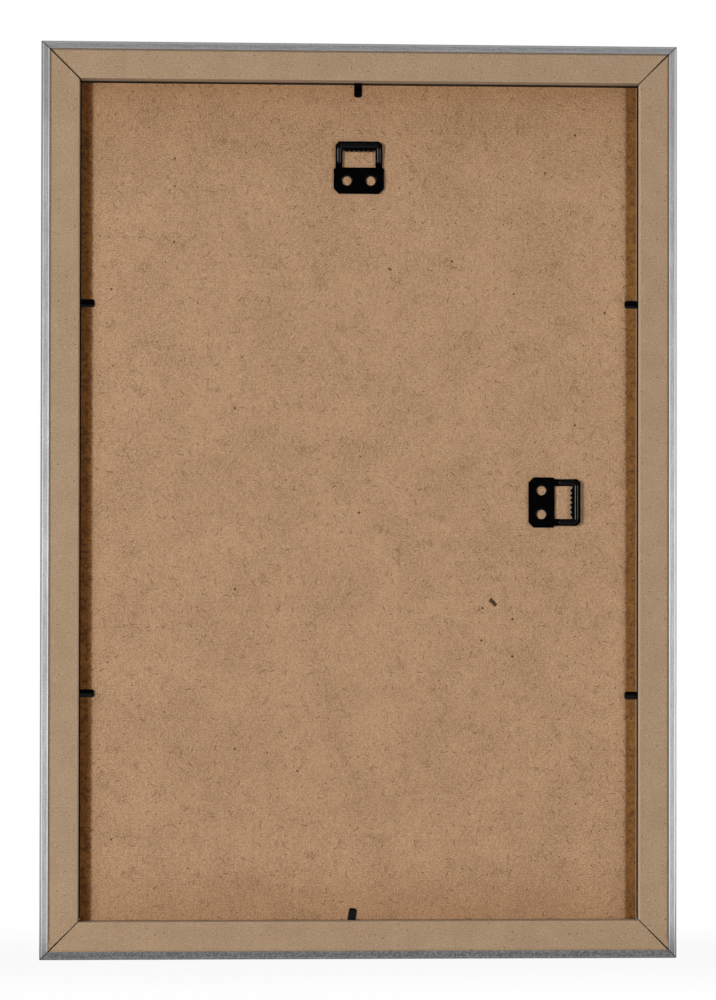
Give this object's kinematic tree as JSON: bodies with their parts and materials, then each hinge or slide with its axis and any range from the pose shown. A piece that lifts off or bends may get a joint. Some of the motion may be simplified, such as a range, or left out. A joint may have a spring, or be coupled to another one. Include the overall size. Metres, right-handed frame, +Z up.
{
  "type": "picture frame",
  "caption": "Mitred picture frame with foil-wrapped fibreboard rails, glass, hardboard back, bendable points that hold the pack, and sawtooth hangers for portrait or landscape.",
  "frame": {"origin": "on the wall plane, behind the middle notch of the portrait hanger, where the nail stands", "axes": "+Z up in portrait format, +Y from the wall through the frame to its glass front, +X to the right as seen from the back"},
  "size_m": [0.3426, 0.016, 0.4927],
  "materials": {
    "fibreboard": "raw, fine-sanded",
    "silver_foil": "satin metallised foil",
    "bare_steel": "bare",
    "clear_glass": "clear, polished",
    "plain_paper": "matt",
    "hardboard": "smooth pressed side, mottled",
    "black_steel": "black, satin"
  },
  "bodies": {
    "frame": {"rail_top": "fibreboard", "foil_top": "silver_foil", "rail_bottom": "fibreboard", "foil_bottom": "silver_foil", "rail_left": "fibreboard", "foil_left": "silver_foil", "rail_right": "fibreboard", "foil_right": "silver_foil", "corner_nails_top_left": "bare_steel", "corner_nails_top_right": "bare_steel", "corner_nails_bottom_left": "bare_steel", "corner_nails_bottom_right": "bare_steel", "glass_pane": "clear_glass", "insert_sheet": "plain_paper", "backing_board": "hardboard", "hanger_portrait": "black_steel", "hanger_landscape": "black_steel", "point_shank_top": "black_steel", "point_shank_bottom": "black_steel", "point_shank_left_upper": "black_steel", "point_shank_left_lower": "black_steel", "point_shank_right_upper": "black_steel", "point_shank_right_lower": "black_steel"},
    "tab_top": {"point_tab_top": "black_steel"},
    "tab_bottom": {"point_tab_bottom": "black_steel"},
    "tab_left_upper": {"point_tab_left_upper": "black_steel"},
    "tab_left_lower": {"point_tab_left_lower": "black_steel"},
    "tab_right_upper": {"point_tab_right_upper": "black_steel"},
    "tab_right_lower": {"point_tab_right_lower": "black_steel"}
  },
  "joints": [
    {"name": "bend_top", "type": "hinge", "parent": "frame", "child": "tab_top", "pos_m": [-0.0005, 0.00635, 0.03585], "axis": [-1, 0, 0], "range_deg": [0, 90]},
    {"name": "bend_bottom", "type": "hinge", "parent": "frame", "child": "tab_bottom", "pos_m": [-0.0034, 0.00635, -0.41475], "axis": [1, 0, 0], "range_deg": [0, 90]},
    {"name": "bend_left_upper", "type": "hinge", "parent": "frame", "child": "tab_left_upper", "pos_m": [-0.1495, 0.00635, -0.08355], "axis": [0, 0, -1], "range_deg": [0, 90]},
    {"name": "bend_left_lower", "type": "hinge", "parent": "frame", "child": "tab_left_lower", "pos_m": [-0.1495, 0.00635, -0.29315], "axis": [0, 0, -1], "range_deg": [0, 90]},
    {"name": "bend_right_upper", "type": "hinge", "parent": "frame", "child": "tab_right_upper", "pos_m": [0.1511, 0.00635, -0.08265], "axis": [0, 0, 1], "range_deg": [0, 90]},
    {"name": "bend_right_lower", "type": "hinge", "parent": "frame", "child": "tab_right_lower", "pos_m": [0.1511, 0.00635, -0.29425], "axis": [0, 0, 1], "range_deg": [0, 90]}
  ]
}
